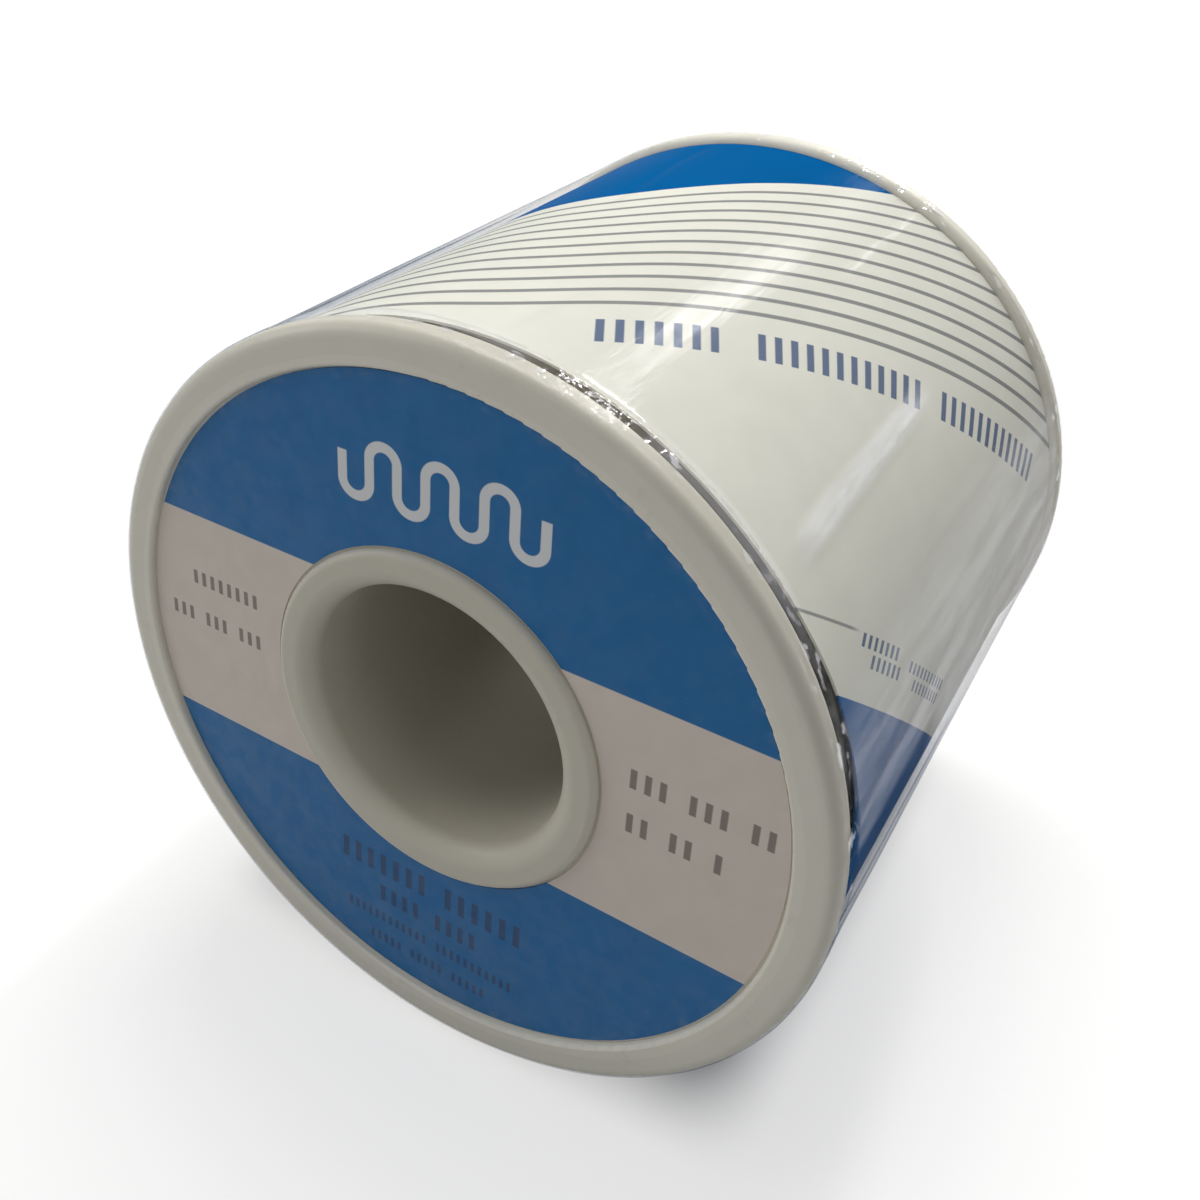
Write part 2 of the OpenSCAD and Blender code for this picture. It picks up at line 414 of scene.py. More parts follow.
LABEL_BLUE = (0.004, 0.122, 0.330)
LABEL_PALE = (0.70, 0.63, 0.565)
INK_WHITE = (0.72, 0.74, 0.76)
INK_BROWN = (0.17, 0.12, 0.11)
INK_NAVY = (0.006, 0.03, 0.10)
INK_RUBBED = (0.62, 0.62, 0.60)
INK_SCUFFED = (0.52, 0.54, 0.55)
FACE_TILT = -1.3  # degrees by which the label is stuck on askew
BAND_HALF = 8.6
# How strongly each print and each kind of wear covers what is under it, and where wear shows
BAND_INK = 0.85
FOOT_INK = 0.80
SCUFF_SHARE = 0.07
RUB_SHARE = 0.10
LABEL_SCUFFS = (0.66, 0.76)
LABEL_RUBBED_R = (23.7, 24.5)
LABEL_BUBBLES = 0.16
LABEL_ROUGHNESS = (0.36, 0.52)
TICK_WIDTH = 0.46
# Rows of ticks: middle, from, to, height, pitch, and how many places from gap to gap
BAND_ROWS = [
    (3.3, -20.9, -14.5, 1.15, 0.80, 20), (-0.1, -23.2, -14.0, 1.15, 0.80, 4),
    (2.9, 14.2, 23.8, 1.45, 0.96, 4), (-0.5, 14.2, 20.9, 1.45, 0.96, 3)]
FOOT_ROWS = [
    (-14.9, -7.8, 8.0, 1.9, 1.12, 8), (-17.7, -4.4, 5.2, 1.45, 0.96, 5),
    (-20.1, -7.2, 7.4, 0.85, 0.60, 13), (-22.2, -5.2, 5.2, 0.85, 0.60, 6)]


def ticks(g, along, pitch, group, width):
    """Evenly spaced marks along a line, in groups of group - 1 with one place left out."""
    cell = g.math("FLOOR", along / pitch)
    mark = g.inside(along / pitch - cell - 0.5, width / 2, 0.10)
    return mark * g.math("LESS_THAN", g.math("WRAP", cell, group, 0.0), group - 1.5)


def tick_rows(g, across, up, rows):
    """Plain upright ticks where small print would be."""
    total = 0.0
    for middle, start, end, height, pitch, group in rows:
        row = g.inside(up - middle, height / 2) * g.between(across, start, end, 0.02)
        total = row * ticks(g, across - start, pitch, group, TICK_WIDTH) + total
    return g.math("MINIMUM", total, 1.0)


WAVE_AT = (0.6, 17.2)
WAVE_BEND = 1.05
WAVE_STRAIGHT = 0.95
WAVE_STROKE = 0.36
WAVE_BENDS = 7


def meander(g, x, y):
    """1 on a serpentine line of round bends joined by straight legs, centred on x, y = 0."""
    pitch = 2 * WAVE_BEND
    cell = g.math("ROUND", x / pitch)
    off = abs(x - cell * pitch)
    odd = g.math("PINGPONG", cell, 1.0)
    facing = (odd * -2.0 + 1.0) * y
    same = g.math("GREATER_THAN", facing, 0.0)
    near = off * same + (pitch - off) * (1.0 - same)
    past = g.math("MAXIMUM", abs(y) - WAVE_STRAIGHT, 0.0)
    line = g.inside((near * near + past * past) ** 0.5 - WAVE_BEND, WAVE_STROKE, 0.09)
    # Its first and last legs end where they would bend
    reach = WAVE_BENDS * WAVE_BEND + WAVE_STROKE
    whole = g.inside(x, reach, 0.06)
    between_legs = g.inside(x, reach - 2.2 * WAVE_STROKE, 0.06)
    below_bends = g.ramp(y, WAVE_STRAIGHT - 0.05, WAVE_STRAIGHT + 0.05, 1.0, 0.0)
    return line * whole * g.math("MAXIMUM", between_legs, below_bends)


def face_label_material():
    """Printed ring of the front face: a pale band on blue, a serpentine line and rows of ticks."""
    g = Graph("face_label_printed")
    tilt = math.radians(FACE_TILT)
    across = g.x * math.cos(tilt) + g.z * math.sin(tilt)
    up = g.z * math.cos(tilt) - g.x * math.sin(tilt)
    band = g.inside(up, BAND_HALF, 0.10)
    mottle = g.noise(0.35, 3, 0.6)
    colour = g.mix(band, mottled(g, mottle, LABEL_BLUE, 1.06),
                   mottled(g, mottle, LABEL_PALE, 0.975))

    wave = meander(g, across - WAVE_AT[0], up - WAVE_AT[1])
    colour = g.mix(wave, colour, INK_WHITE)
    colour = g.mix(tick_rows(g, across, up, BAND_ROWS) * BAND_INK, colour, INK_BROWN)
    colour = g.mix(tick_rows(g, across, up, FOOT_ROWS) * FOOT_INK, colour, INK_NAVY)

    scuffs = g.ramp(g.noise(1.7, 5, 0.7), *LABEL_SCUFFS) * SCUFF_SHARE
    colour = g.mix(scuffs, colour, INK_SCUFFED)
    rub = g.ramp(g.radius, *LABEL_RUBBED_R) * g.ramp(g.noise(0.8, 3), 0.45, 0.8)
    colour = g.mix(rub * RUB_SHARE, colour, INK_RUBBED)

    fibres = g.noise(7.0, 3, 0.6) * 0.004
    bubbles = g.noise(0.30, 2) * LABEL_BUBBLES
    roughness = patchy(g, 0.9, *LABEL_ROUGHNESS)
    return g.finish(g.principled(
        Base_Color=colour, Roughness=roughness, Normal=g.bump(fibres + bubbles),
        Specular_IOR_Level=0.30))


BARREL_BLUE = (0.001, 0.108, 0.340)
BARREL_WHITE = (0.80, 0.79, 0.72)
STRIPE_GREY = (0.16, 0.17, 0.18)
INK_BLUE = (0.035, 0.085, 0.22)
# The stripes run at a steady slope, and ease off along a leaning line round the barrel
SWEEP = 1.22
SWEEP_BEND_AT = 45.2
SWEEP_BEND_LEAN = 0.16
SWEEP_EASE = 0.95
SWEEP_SOFT = 7.0
STRIPE_FIRST = -23.5
STRIPE_STEP = 2.75
STRIPE_COUNT = 11
STRIPE_HALF = 0.21
BLUE_FROM = 6.85
BLUE_LOW = (-113.0, -64.0)
STRIPE_INK = 0.80
PRINT_INK = 0.85
RULE_INK = 0.7
SHEET_COCKLE = 0.10
SHEET_ROUGHNESS = (0.34, 0.46)
TICK_SLANT = 0.42
NO_GAP = 99
# The headline's words: from, to. Small rows: distance across the sweep, half height, from, to
HEADLINE = [(36.9, 27.4), (25.4, 9.3), (7.3, -9.8)]
HEADLINE_AT = -18.2
HEADLINE_HALF = 1.26
HEADLINE_PITCH = 1.32
SMALL_PRINT_PITCH = 0.80
RULE_AT = -36.55
RULE_HALF = 0.10
RULE_START = (21.0, 22.5)
SMALL_PRINT = [
    (-36.95, 0.42, 15.6, 21.2), (-38.05, 0.42, 15.2, 19.9),
    (-37.30, 0.36, 5.0, 13.9), (-38.30, 0.36, 5.6, 13.0)]


def hatch_row(g, along, off, start, end, half, pitch):
    """Slanting ticks along a line of the sheet, where print would be."""
    slanted = along - min(start, end) + off * TICK_SLANT
    return (ticks(g, slanted, pitch, NO_GAP, TICK_WIDTH) * g.inside(off, half, 0.08)
            * g.between(slanted, 0.0, abs(end - start), 0.02))


def wrap_label_material():
    """Printed sheet round the winding: blue fields and pinstripes that sweep across it."""
    g = Graph("wrap_label_printed")
    turned = g.math("WRAP", g.angle, FLAP_EDGE, FLAP_EDGE - 360)
    around = turned * (math.pi / 180 * WRAP_R)
    past = g.math("SMOOTH_MAX", around - SWEEP_BEND_AT - g.y * SWEEP_BEND_LEAN, 0.0, SWEEP_SOFT)
    # Where a point lies across the stripes, measured along the spool and square to them
    level = g.y + (around - SWEEP_BEND_AT) * SWEEP - past * SWEEP_EASE
    lean = 1 / math.hypot(1, SWEEP)
    across = level * lean
    along = (around - g.y * SWEEP) * lean
    mottle = g.noise(0.30, 3, 0.6)
    colour = mottled(g, mottle, BARREL_WHITE, 0.975)

    step = (level - STRIPE_FIRST) / STRIPE_STEP
    nearest = g.math("ROUND", step)
    stripe = g.inside((step - nearest) * (STRIPE_STEP * lean), STRIPE_HALF, 0.10)
    stripe = stripe * g.between(nearest, -0.5, STRIPE_COUNT - 0.5, 0.02)
    colour = g.mix(stripe * STRIPE_INK, colour, STRIPE_GREY)

    print_rows = 0.0
    for start, end in HEADLINE:
        print_rows = hatch_row(g, along, across - HEADLINE_AT, start, end, HEADLINE_HALF,
                               HEADLINE_PITCH) + print_rows
    for middle, half, start, end in SMALL_PRINT:
        print_rows = hatch_row(g, along, across - middle, start, end, half,
                               SMALL_PRINT_PITCH) + print_rows
    colour = g.mix(g.math("MINIMUM", print_rows, 1.0) * PRINT_INK, colour, INK_BLUE)
    rule = g.inside(across - RULE_AT, RULE_HALF, 0.08) * g.ramp(along, *RULE_START)
    colour = g.mix(rule * RULE_INK, colour, STRIPE_GREY)

    rear_field = g.ramp(level, BLUE_FROM - 0.05, BLUE_FROM + 0.05)
    low_field = g.between(level, *BLUE_LOW, 0.10)
    colour = g.mix(g.math("MAXIMUM", rear_field, low_field), colour,
                   mottled(g, mottle, BARREL_BLUE, 1.05))

    fibres = g.noise(5.0, 3, 0.6) * 0.003
    cockle = g.noise(1.0, 2, at=g.vector(around * 0.16, g.y * 0.07, 0.0)) * SHEET_COCKLE
    roughness = patchy(g, 0.8, *SHEET_ROUGHNESS)
    return g.finish(g.principled(
        Base_Color=colour, Roughness=roughness, Normal=g.bump(fibres + cockle),
        Specular_IOR_Level=0.0))


SOLDER_BRIGHT = (0.50, 0.50, 0.49)
SOLDER_DULL = (0.26, 0.26, 0.25)
SOLDER_PAINTED_SHADOW = (0.035, 0.030, 0.027)
SOLDER_PAINTED_HALF_SHADE = (0.40, 0.36, 0.30)
# Painted shade on the end turns by the flanges: from which |y| it covers them, and over which
# angles the lighter shade on top takes over from the dark shadow on the side
GROOVE_SHADE_Y = (20.8, 22.0)
HALF_SHADE_FROM = (28.0, 70.0)
SOLDER_BLOOM = (0.38, 0.64)
SOLDER_ROUGHNESS = (0.26, 0.50)


def solder_material():
    """Drawn tin-lead wire: die lines along it, a grey bloom, and painted shade on its end turns in
    the grooves by the flanges.
    """
    g = Graph("solder_drawn")
    bloom = g.ramp(g.noise(0.5, 4, 0.6), *SOLDER_BLOOM)
    # Painted shade: the end turns are dark, matte and less metallic, darkest on the side and
    # lighter on top.
    groove_shade = g.ramp(abs(g.y), *GROOVE_SHADE_Y)
    painted_groove_shade = g.mix(g.ramp(g.angle, *HALF_SHADE_FROM), SOLDER_PAINTED_SHADOW, SOLDER_PAINTED_HALF_SHADE)
    colour = g.mix(groove_shade, g.mix(bloom, SOLDER_BRIGHT, SOLDER_DULL), painted_groove_shade)
    lines = g.noise(1.0, 3, 0.6, at=g.vector(g.angle * 0.02, g.y * 5.0, g.radius * 5.0))
    roughness = g.ramp(bloom * 0.6 + lines * 0.4, 0.2, 0.8, *SOLDER_ROUGHNESS)
    return g.finish(g.principled(
        Base_Color=colour, Metallic=0.95 - groove_shade * 0.85, Roughness=roughness + groove_shade * 0.25,
        Specular_IOR_Level=0.2, Normal=g.bump(lines * 0.02 + g.noise(2.2, 3) * 0.01)))


FILM_CLEAR = (0.985, 0.988, 0.985)
FILM_EDGE_ON = (0.77, 0.77, 0.77)
FILM_EDGE_COLD = (0.50, 0.53, 0.58)
FILM_GLOSS = (0.95, 0.95, 1.0)
FILM_ROUGHNESS = 0.16
# How steeply its mirror and its tint grow where it is seen edge-on, and where the tint is cold
GRAZING_POWER = 18.0
TINT_POWER = 8.0
COLD_TINT_Y = (8.0, -12.0)
# Shares of the film that mirror: all over, edge-on, and in each of the places below. A ray
# passes two walls of the film, so each counts twice.
FILM_MIRROR = 0.004
FILM_GRAZING = 0.20
FILM_CRINKLED = 0.125
FILM_STREAK = 0.23
FILM_ON_RIM_MIRROR = 0.0045
FILM_GLINTS = 0.22
FILM_OVER_GAP = 0.08
# Haze low on the barrel, in degrees: where it grows in from above and from below
HAZE_ABOVE = (30.0, 12.0)
HAZE_BELOW = (-70.0, -40.0)
# A clear band through the haze: angle, half widths, and where it opens along the spool
CLEAR_BAND_AT = 0.8
CLEAR_BAND_HALF = (4.6, 1.8)
CLEAR_BAND_Y = (-6.0, -11.0)
CLEAR_BAND_SHARE = 0.92
# A straight streak: angle, turn per millimetre, half widths, ends
STREAK_AT = 40.8
STREAK_TURN = 0.03
STREAK_HALF = (2.8, 0.6)
STREAK_Y = (-19.0, 2.0)
# A step in the film that splits the lamp's glare: below these angles, behind these places
FOLD_DEPTH = 0.144
FOLD_ANGLE = (59.4, 62.4)
FOLD_Y = (0.0, 8.0)
# The gap between the front flange and the label, where the film is whitish above these angles
GAP_BEHIND = (-22.9, -23.3)
GAP_BEFORE = (-24.9, -24.6)
GAP_ANGLE = (26.0, 44.0)
GLARE_ANGLE = 69.0
# Where the plain mirror fades: above these angles behind this place, and towards both ends
FADE_ABOVE = (63.0, 65.0)
FADE_BEHIND = (1.0, 8.0)
FADE_SHARE = 0.75
FADE_ENDS = [(-11.0, -21.0, 0.5), (20.0, 23.0, 0.8)]
# |y| of the film's parts: its haze's end, the rims, the rims' inner edges and the puckers
HAZE_END_Y = (23.2, 24.2)
RIM_Y = (23.6, 24.6)
EDGE_Y_IN = (23.3, 23.9)
EDGE_Y_OUT = (25.9, 25.0)
PUCKER_Y_IN = (20.5, 23.5)
PUCKER_Y_OUT = (26.2, 25.2)


def film_haze(g, streaks):
    """Milky crinkles low on the right of the barrel, with a clear band through their front."""
    side = g.ramp(g.angle, *HAZE_ABOVE) * g.ramp(g.angle, *HAZE_BELOW)
    band = g.ramp(abs(g.angle - CLEAR_BAND_AT), *CLEAR_BAND_HALF) * g.ramp(g.y, *CLEAR_BAND_Y)
    haze = side * (1.0 - band * CLEAR_BAND_SHARE) * g.ramp(abs(g.y), *HAZE_END_Y, 1.0, 0.0)
    return haze * g.ramp(streaks, 0.36, 0.66, 0.45, 1.0) * FILM_CRINKLED


def film_glare(g, streaks, fine_noise):
    """The film's plain mirror, which fades where its glare breaks off, and one brighter streak."""
    streak = g.ramp(abs(g.angle - STREAK_AT - g.y * STREAK_TURN), *STREAK_HALF)
    streak = streak * g.between(g.y, *STREAK_Y, 6.0) * g.ramp(fine_noise, 0.3, 0.7, 0.5, 1.0)
    faded = g.ramp(g.angle, *FADE_ABOVE) * g.ramp(g.y, *FADE_BEHIND) * FADE_SHARE
    for start, end, share in FADE_ENDS:
        faded = g.math("MAXIMUM", faded, g.ramp(g.y, start, end) * share)
    plain = g.ramp(streaks, 0.35, 0.75, FILM_MIRROR * 0.6, FILM_MIRROR * 1.8) * (1.0 - faded)
    return streak * FILM_STREAK + plain


def film_ends(g, rim, edge):
    """What the film mirrors on the rims, in the glints at their edges and over the front gap."""
    glints = g.ramp(g.noise(1.0, 2, at=g.vector(g.angle * 0.45, g.y * 1.3, 5.0)), 0.56, 0.64)
    glints = glints * g.ramp(g.noise(1.0, 1, at=g.vector(g.angle * 0.09, 0.0, 8.0)), 0.42, 0.58)
    gap = g.ramp(g.y, *GAP_BEHIND) * g.ramp(g.y, *GAP_BEFORE) * g.ramp(g.angle, *GAP_ANGLE)
    gap = gap * g.ramp(abs(g.angle - GLARE_ANGLE), 5.0, 12.0, 0.15, 1.0)
    return rim * FILM_ON_RIM_MIRROR + edge * glints * FILM_GLINTS + gap * FILM_OVER_GAP


def film_relief(g, fine_noise, rim, edge):
    """Height of the film in millimetres: fine waves, puckers at its ends and the fold."""
    pucker = g.ramp(abs(g.y), *PUCKER_Y_IN) * g.ramp(abs(g.y), *PUCKER_Y_OUT)
    ripples = g.noise(1.0, 2, 0.6, at=g.vector(g.angle * 0.5, g.y * 0.9, g.radius)) * 0.05
    sparkle = g.noise(1.0, 2, 0.6, at=g.vector(g.angle * 0.42, g.y * 0.8, g.radius * 0.8)) * 0.22
    fold = g.ramp(g.angle, *FOLD_ANGLE, 1.0, 0.0) * g.ramp(g.y, *FOLD_Y)
    height = fine_noise * 0.03 + ripples * pucker + sparkle * g.math("MAXIMUM", rim, edge)
    return height + fold * FOLD_DEPTH


def film_material():
    """Clear shrink film: what is behind it shows, with gloss that grows towards its edges."""
    g = Graph("clear_shrink_film")
    weight = g.node("ShaderNodeLayerWeight")
    weight.inputs["Blend"].default_value = 0.5
    facing = Value(g, weight.outputs["Facing"])
    streaks = g.noise(1.0, 3, 0.6, at=g.vector(g.angle * 0.22, g.y * 0.05, 2.0))
    fine_noise = g.noise(1.0, 3, 0.55, at=g.vector(g.angle * 0.9, g.y * 0.35, g.radius * 0.3))
    rim = g.ramp(abs(g.y), *RIM_Y)
    edge = g.ramp(abs(g.y), *EDGE_Y_IN) * g.ramp(abs(g.y), *EDGE_Y_OUT)
    mirror = (facing ** GRAZING_POWER) * FILM_GRAZING + film_haze(g, streaks)
    mirror = mirror + film_glare(g, streaks, fine_noise) + film_ends(g, rim, edge)
    clear = g.node("ShaderNodeBsdfTransparent")
    edge_on = g.mix(g.ramp(g.y, *COLD_TINT_Y), FILM_EDGE_ON, FILM_EDGE_COLD)
    g.feed(clear.inputs["Color"], g.mix(facing ** TINT_POWER, FILM_CLEAR, edge_on))
    gloss = g.node("ShaderNodeBsdfGlossy")
    gloss.inputs["Color"].default_value = (*FILM_GLOSS, 1)
    gloss.inputs["Roughness"].default_value = FILM_ROUGHNESS
    g.feed(gloss.inputs["Normal"], g.bump(film_relief(g, fine_noise, rim, edge)))
    mixed = g.node("ShaderNodeMixShader")
    g.feed(mixed.inputs[0], mirror)
    g.feed(mixed.inputs[1], clear.outputs[0])
    g.feed(mixed.inputs[2], gloss.outputs[0])
    return g.finish(mixed.outputs[0])


# ---------------------------------------------------------------- meshes

def on_spool(radius, angle, y):
    """A point at a radius and angle round the bore, given in millimetres and degrees."""
    turn = math.radians(angle)
    return (radius * math.cos(turn) * MM, y * MM, radius * math.sin(turn) * MM)


def grid_faces(rows, columns, closed_rows=False, closed_columns=False):
    """Quads between points that are stored row by row."""
    faces = []
    for i in range(rows if closed_rows else rows - 1):
        for j in range(columns if closed_columns else columns - 1):
            a = i * columns + j
            b = i * columns + (j + 1) % columns
            c = ((i + 1) % rows) * columns + (j + 1) % columns
            d = ((i + 1) % rows) * columns + j
            faces.append((a, b, c, d))
    return faces


SHARP_ANGLE = 35
ROUND_SHARP_ANGLE = 60


def make_piece(name, points, faces, material, replaced, sharp=SHARP_ANGLE):
    mesh = bpy.data.meshes.new(name)
    mesh.from_pydata(points, [], faces)
    mesh.validate()
    mesh.materials.append(material)
    mesh.shade_smooth()
    mesh.set_sharp_from_angle(angle=math.radians(sharp))
    piece = bpy.data.objects.new(name, mesh)
    bpy.context.scene.collection.objects.link(piece)
    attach(piece, "root")
    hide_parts(replaced)
    return piece


def smooth_step(value, start, end):
    t = min(max((value - start) / (end - start), 0.0), 1.0)
    return t * t * (3 - 2 * t)


def round_noise(angle, y, per_turn, y_scale, seed):
    """Smooth noise from -1 to 1 on the barrel that meets itself after one turn."""
    turn = math.radians(angle)
    reach = per_turn / (2 * math.pi)
    return noise.noise(Vector((reach * math.cos(turn), reach * math.sin(turn) + seed, y * y_scale)))


WRAP_STEPS = 300
WRAP_ROWS = 24
WRAP_NOTCH = 1.15
WRAP_NOTCH_AT = 13.0
WRAP_NOTCH_SPAN = 20.0
WRAP_EASED = 0.12
WRAP_REAR_GAP = 0.04
LAP_CLIMB = 3.0  # degrees over which the sheet rises onto its own start


def make_wrap():
    """The sheet: once round from under its flap, with the flap's edge lying on its own start."""
    points = []
    span = 360 + FLAP_SPAN
    for i in range(WRAP_STEPS + 1):
        t = i / WRAP_STEPS
        angle = FLAP_EDGE + span * (1 - t)
        lift = WRAP_LAP * smooth_step(t * span, 360 - LAP_CLIMB, 360.0)
        inner = WRAP_R - WRAP_T - WRAP_CLEAR + lift
        ring = []
        off = ((angle - WRAP_NOTCH_AT + 180) % 360 - 180) / WRAP_NOTCH_SPAN
        front = WRAP_FRONT + WRAP_NOTCH * math.exp(-off * off)
        front += WRAP_EASED * (1 + round_noise(angle, -24, 9, 1, 31.0))
        rear = RIM_INNER - WRAP_REAR_GAP
        rear -= WRAP_EASED * 0.3 * (1 + round_noise(angle, 24, 9, 1, 32.0))
        for j in range(WRAP_ROWS + 1):
            y = front + (rear - front) * j / WRAP_ROWS
            cockle = WRAP_CLEAR * 0.5 * (1 + round_noise(angle, y, 26, 0.12, 11.0))
            ring.append((inner + cockle, y))
        for radius, y in ring:
            points.append(on_spool(radius + WRAP_T, angle, y))
        for radius, y in reversed(ring):
            points.append(on_spool(radius, angle, y))
    columns = 2 * (WRAP_ROWS + 1)
    faces = grid_faces(WRAP_STEPS + 1, columns, closed_columns=True)
    faces = [tuple(reversed(f)) for f in faces]
    last = WRAP_STEPS * columns
    for j in range(WRAP_ROWS):
        near, far = j, columns - 1 - j
        faces.append((near, near + 1, far - 1, far))
        faces.append((last + far, last + far - 1, last + near + 1, last + near))
    return make_piece("barrel_wrap", points, faces, wrap_label_material(), "barrel_label")


# The outer layer's path as the CAD has it, from the top of the climb to the cut end
WIRE_R = 1.5
WIRE_LAYER_R = 25.17
WIRE_START_ANGLE = 256.85
WIRE_START_Y = 22.5
WIRE_TURNS = 13
WIRE_STEPS = 60
WIRE_SIDES = 12


def make_wire():
    """The outer layer of solder as one round, unbroken wire from its climb to its cut end."""
    path = []
    count = WIRE_TURNS * WIRE_STEPS
    pitch = 2 * WIRE_START_Y / WIRE_TURNS
    straight = math.degrees(math.asin(2 * WIRE_R / WIRE_LAYER_R))
    end_r = WIRE_LAYER_R * math.cos(math.radians(straight))
    path.append((end_r, WIRE_START_ANGLE - straight, WIRE_START_Y))
    for k in range(count + 1):
        path.append((WIRE_LAYER_R, WIRE_START_ANGLE + 360 * k / WIRE_STEPS,
                     WIRE_START_Y - pitch * k / WIRE_STEPS))
    path.append((end_r, path[-1][1] + straight, -WIRE_START_Y))
    centres = [Vector(on_spool(*p)) for p in path]
    points = []
    for i, centre in enumerate(centres):
        ahead = centres[min(i + 1, len(centres) - 1)] - centres[max(i - 1, 0)]
        along = ahead.normalized()
        turn = math.radians(path[i][1])
        outward = Vector((math.cos(turn), 0, math.sin(turn)))
        side = along.cross(outward).normalized()
        outward = side.cross(along)
        for j in range(WIRE_SIDES):
            around = 2 * math.pi * j / WIRE_SIDES
            points.append(centre + WIRE_R * MM * (math.cos(around) * outward
                                                  + math.sin(around) * side))
    faces = grid_faces(len(centres), WIRE_SIDES, closed_columns=True)
    faces.append(tuple(range(WIRE_SIDES - 1, -1, -1)))
    last = (len(centres) - 1) * WIRE_SIDES
    faces.append(tuple(range(last, last + WIRE_SIDES)))
    return make_piece("solder_winding", points, faces, solder_material(), "wire_outer_layer",
                      ROUND_SHARP_ANGLE)


FILM_T = 0.04
FILM_STEPS = 540
FILM_ON_RIM = FILM_R - 0.02
FILM_OVER_WRAP = 27.50
BRIDGE_END = 20.6
LIP_R = 25.4
LIP_WAVE = 0.35
LIP_POINTS = 4
CORNER_POINTS = 7
CORNER_CLEAR = 0.08
BARREL_POINTS = 96
LAP_RISE = 0.03
LAP_EASE = 8.0
PUCKER_AT = 23.3
PUCKER_HALF = 1.1
PUCKER_DEPTH = 0.10
FILM_WAVE = 0.05
RIM_RIPPLE = 0.018
ABOVE_WRAP = 0.06
WITHIN_CAD = 0.012
CREASE_DRIFT = 0.6
# Axial creases: angle, turn in degrees over the length, first and last y, depth, half width
CREASES = [
    (67.6, 3.6, -23.0, 3.0, 0.015, 0.90),
    (38.6, 0.8, -14.0, 6.0, 0.20, 0.60),
    (52.0, 2.0, -22.0, -8.0, 0.12, 0.50),
    (84.0, -2.0, -23.0, -12.0, 0.12, 0.50),
    (24.0, -1.5, -8.0, 18.0, 0.16, 0.60),
    (97.0, 2.0, 2.0, 22.0, 0.12, 0.55),
    (8.0, 1.5, -21.0, -2.0, 0.14, 0.60),
    (118.0, -3.0, -22.0, 3.0, 0.18, 0.60),
    (146.0, 2.0, -12.0, 20.0, 0.16, 0.60),
    (171.0, -1.0, -22.0, 6.0, 0.16, 0.55),
    (205.0, 2.0, -4.0, 22.0, 0.18, 0.60),
    (232.0, -2.0, -22.0, 0.0, 0.14, 0.60),
    (288.0, 2.5, -20.0, 10.0, 0.16, 0.60),
    (318.0, -2.0, -6.0, 21.0, 0.18, 0.60),
    (342.0, 1.5, -21.0, 4.0, 0.16, 0.55),
]


def crease_depth(angle, y):
    """How far the creases draw the film in at a point of the barrel."""
    total = 0.0
    for at, turn, start, end, depth, half in CREASES:
        middle = at + turn * (y - start) / (end - start)
        middle += CREASE_DRIFT * noise.noise(Vector((at, y / 6, 0)))
        off = (angle - middle + 180) % 360 - 180
        across = math.radians(off) * FILM_OVER_WRAP / half
        if abs(across) > 3:
            continue
        fade = smooth_step(y, start - 2, start + 2) * (1 - smooth_step(y, end - 3, end + 2))
        total += depth * fade * math.exp(-across * across)
    return total


def barrel_radius(angle, y):
    """The film's outside between the rims: drawn in onto the sheet and puckered at its ends."""
    bridge = smooth_step(abs(y), BRIDGE_END, RIM_INNER)
    base = FILM_OVER_WRAP + (FILM_ON_RIM - FILM_OVER_WRAP) * bridge
    lap = 0.5 * FLAP_SPAN
    off = (angle - (FLAP_EDGE + lap) + 180) % 360 - 180
    base += LAP_RISE * (1 - smooth_step(abs(off), lap, lap + LAP_EASE)) * (1 - bridge)
    pucker = math.exp(-((abs(y) - PUCKER_AT) / PUCKER_HALF) ** 2)
    side = 1 if y > 0 else -1
    base += PUCKER_DEPTH * pucker * (round_noise(angle, y, 64, 0.30, 20.0 * side) - 0.6)
    base += FILM_WAVE * (1 - bridge) * round_noise(angle, y, 22, 0.07, 40.0)
    base -= crease_depth(angle, y) * (1 - bridge)
    return min(max(base, WRAP_R + ABOVE_WRAP), FILM_R - WITHIN_CAD)


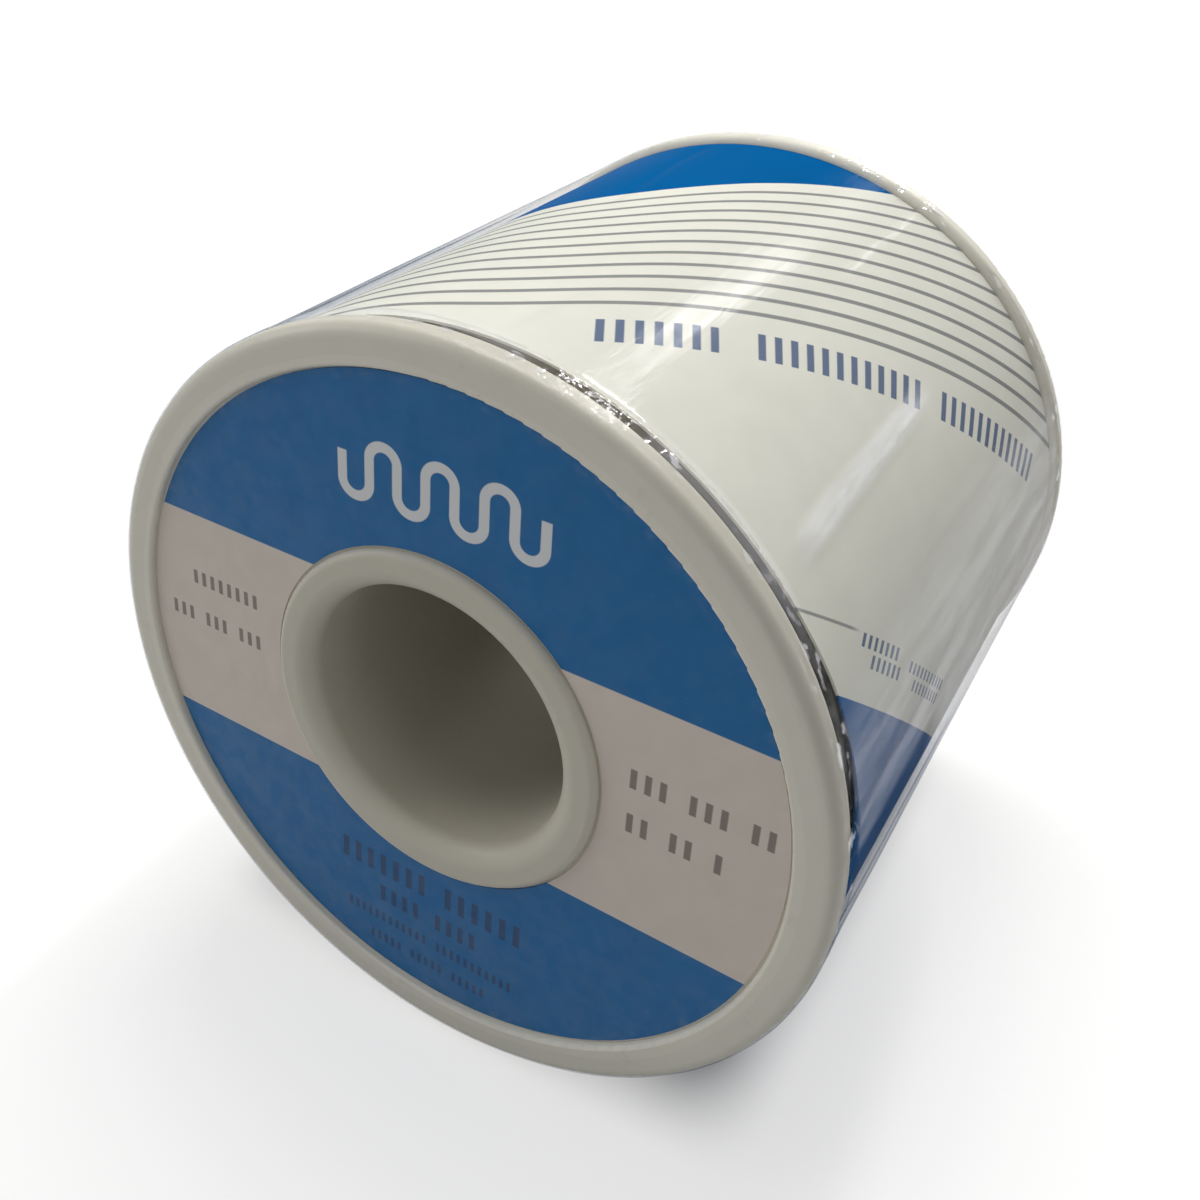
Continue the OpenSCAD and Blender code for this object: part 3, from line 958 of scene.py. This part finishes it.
def film_section(angle):
    """Outside of the film from the front lip's edge to the rear lip's, as (radius, y)."""
    corner_r = FLANGE_R - RIM_ROUND
    corner_y = FLANGE_HALF - RIM_ROUND
    reach = RIM_ROUND + CORNER_CLEAR
    ends = {}
    for side in (-1, 1):
        wavy = 0.5 + round_noise(angle, side, 14, 1, 60.0)
        wavy += 0.3 * round_noise(angle, side, 50, 1, 70.0)
        lip = LIP_R + LIP_WAVE * min(max(wavy, 0.0), 1.0)
        part = [(lip + (corner_r - lip) * k / LIP_POINTS, corner_y + reach)
                for k in range(LIP_POINTS)]
        for k in range(CORNER_POINTS):
            turn = math.pi / 2 * k / (CORNER_POINTS - 1)
            ripple = RIM_RIPPLE * round_noise(angle, k * 0.3, 90, 1, 80.0 + 9 * side)
            ripple *= math.sin(turn)
            part.append((corner_r + (reach + ripple) * math.sin(turn),
                         corner_y + (reach + ripple) * math.cos(turn)))
        ends[side] = [(radius, side * y) for radius, y in part]
    first, last = -corner_y, corner_y
    middle = []
    for k in range(1, BARREL_POINTS):
        y = first + (last - first) * k / BARREL_POINTS
        if abs(y) >= RIM_INNER:
            ripple = RIM_RIPPLE * round_noise(angle, y, 90, 0.6, 90.0)
            middle.append((FILM_ON_RIM + ripple, y))
        else:
            middle.append((barrel_radius(angle, y), y))
    return ends[-1] + middle + ends[1][::-1]


def make_film():
    """The clear film as a closed thin shell, folded a little way over both faces."""
    points = []
    for i in range(FILM_STEPS):
        angle = 360 * i / FILM_STEPS
        outside = film_section(angle)
        count = len(outside)
        inside = []
        for j, (radius, y) in enumerate(outside):
            before, after = outside[max(j - 1, 0)], outside[min(j + 1, count - 1)]
            dr, dy = after[0] - before[0], after[1] - before[1]
            length = math.hypot(dr, dy)
            inside.append((radius - FILM_T * dy / length, y + FILM_T * dr / length))
        for radius, y in outside:
            points.append(on_spool(radius, angle, y))
        for radius, y in reversed(inside):
            points.append(on_spool(radius, angle, y))
    columns = 2 * count
    faces = grid_faces(FILM_STEPS, columns, closed_rows=True, closed_columns=True)
    return make_piece("clear_film_skin", points, faces, film_material(), "shrink_film",
                      ROUND_SHARP_ANGLE)


def dress_cad_nodes():
    """Better materials on the CAD pieces that stay as they are."""
    plastic = plastic_material()
    finishes = {
        "front_spool_half": plastic,
        "rear_spool_half": plastic,
        "front_face_label": face_label_material(),
        "wire_inner_layers": solder_material(),
    }
    for name, material in finishes.items():
        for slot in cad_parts[name].material_slots:
            slot.material = material


make_camera()
make_stage()
dress_cad_nodes()
make_wrap()
make_wire()
make_film()
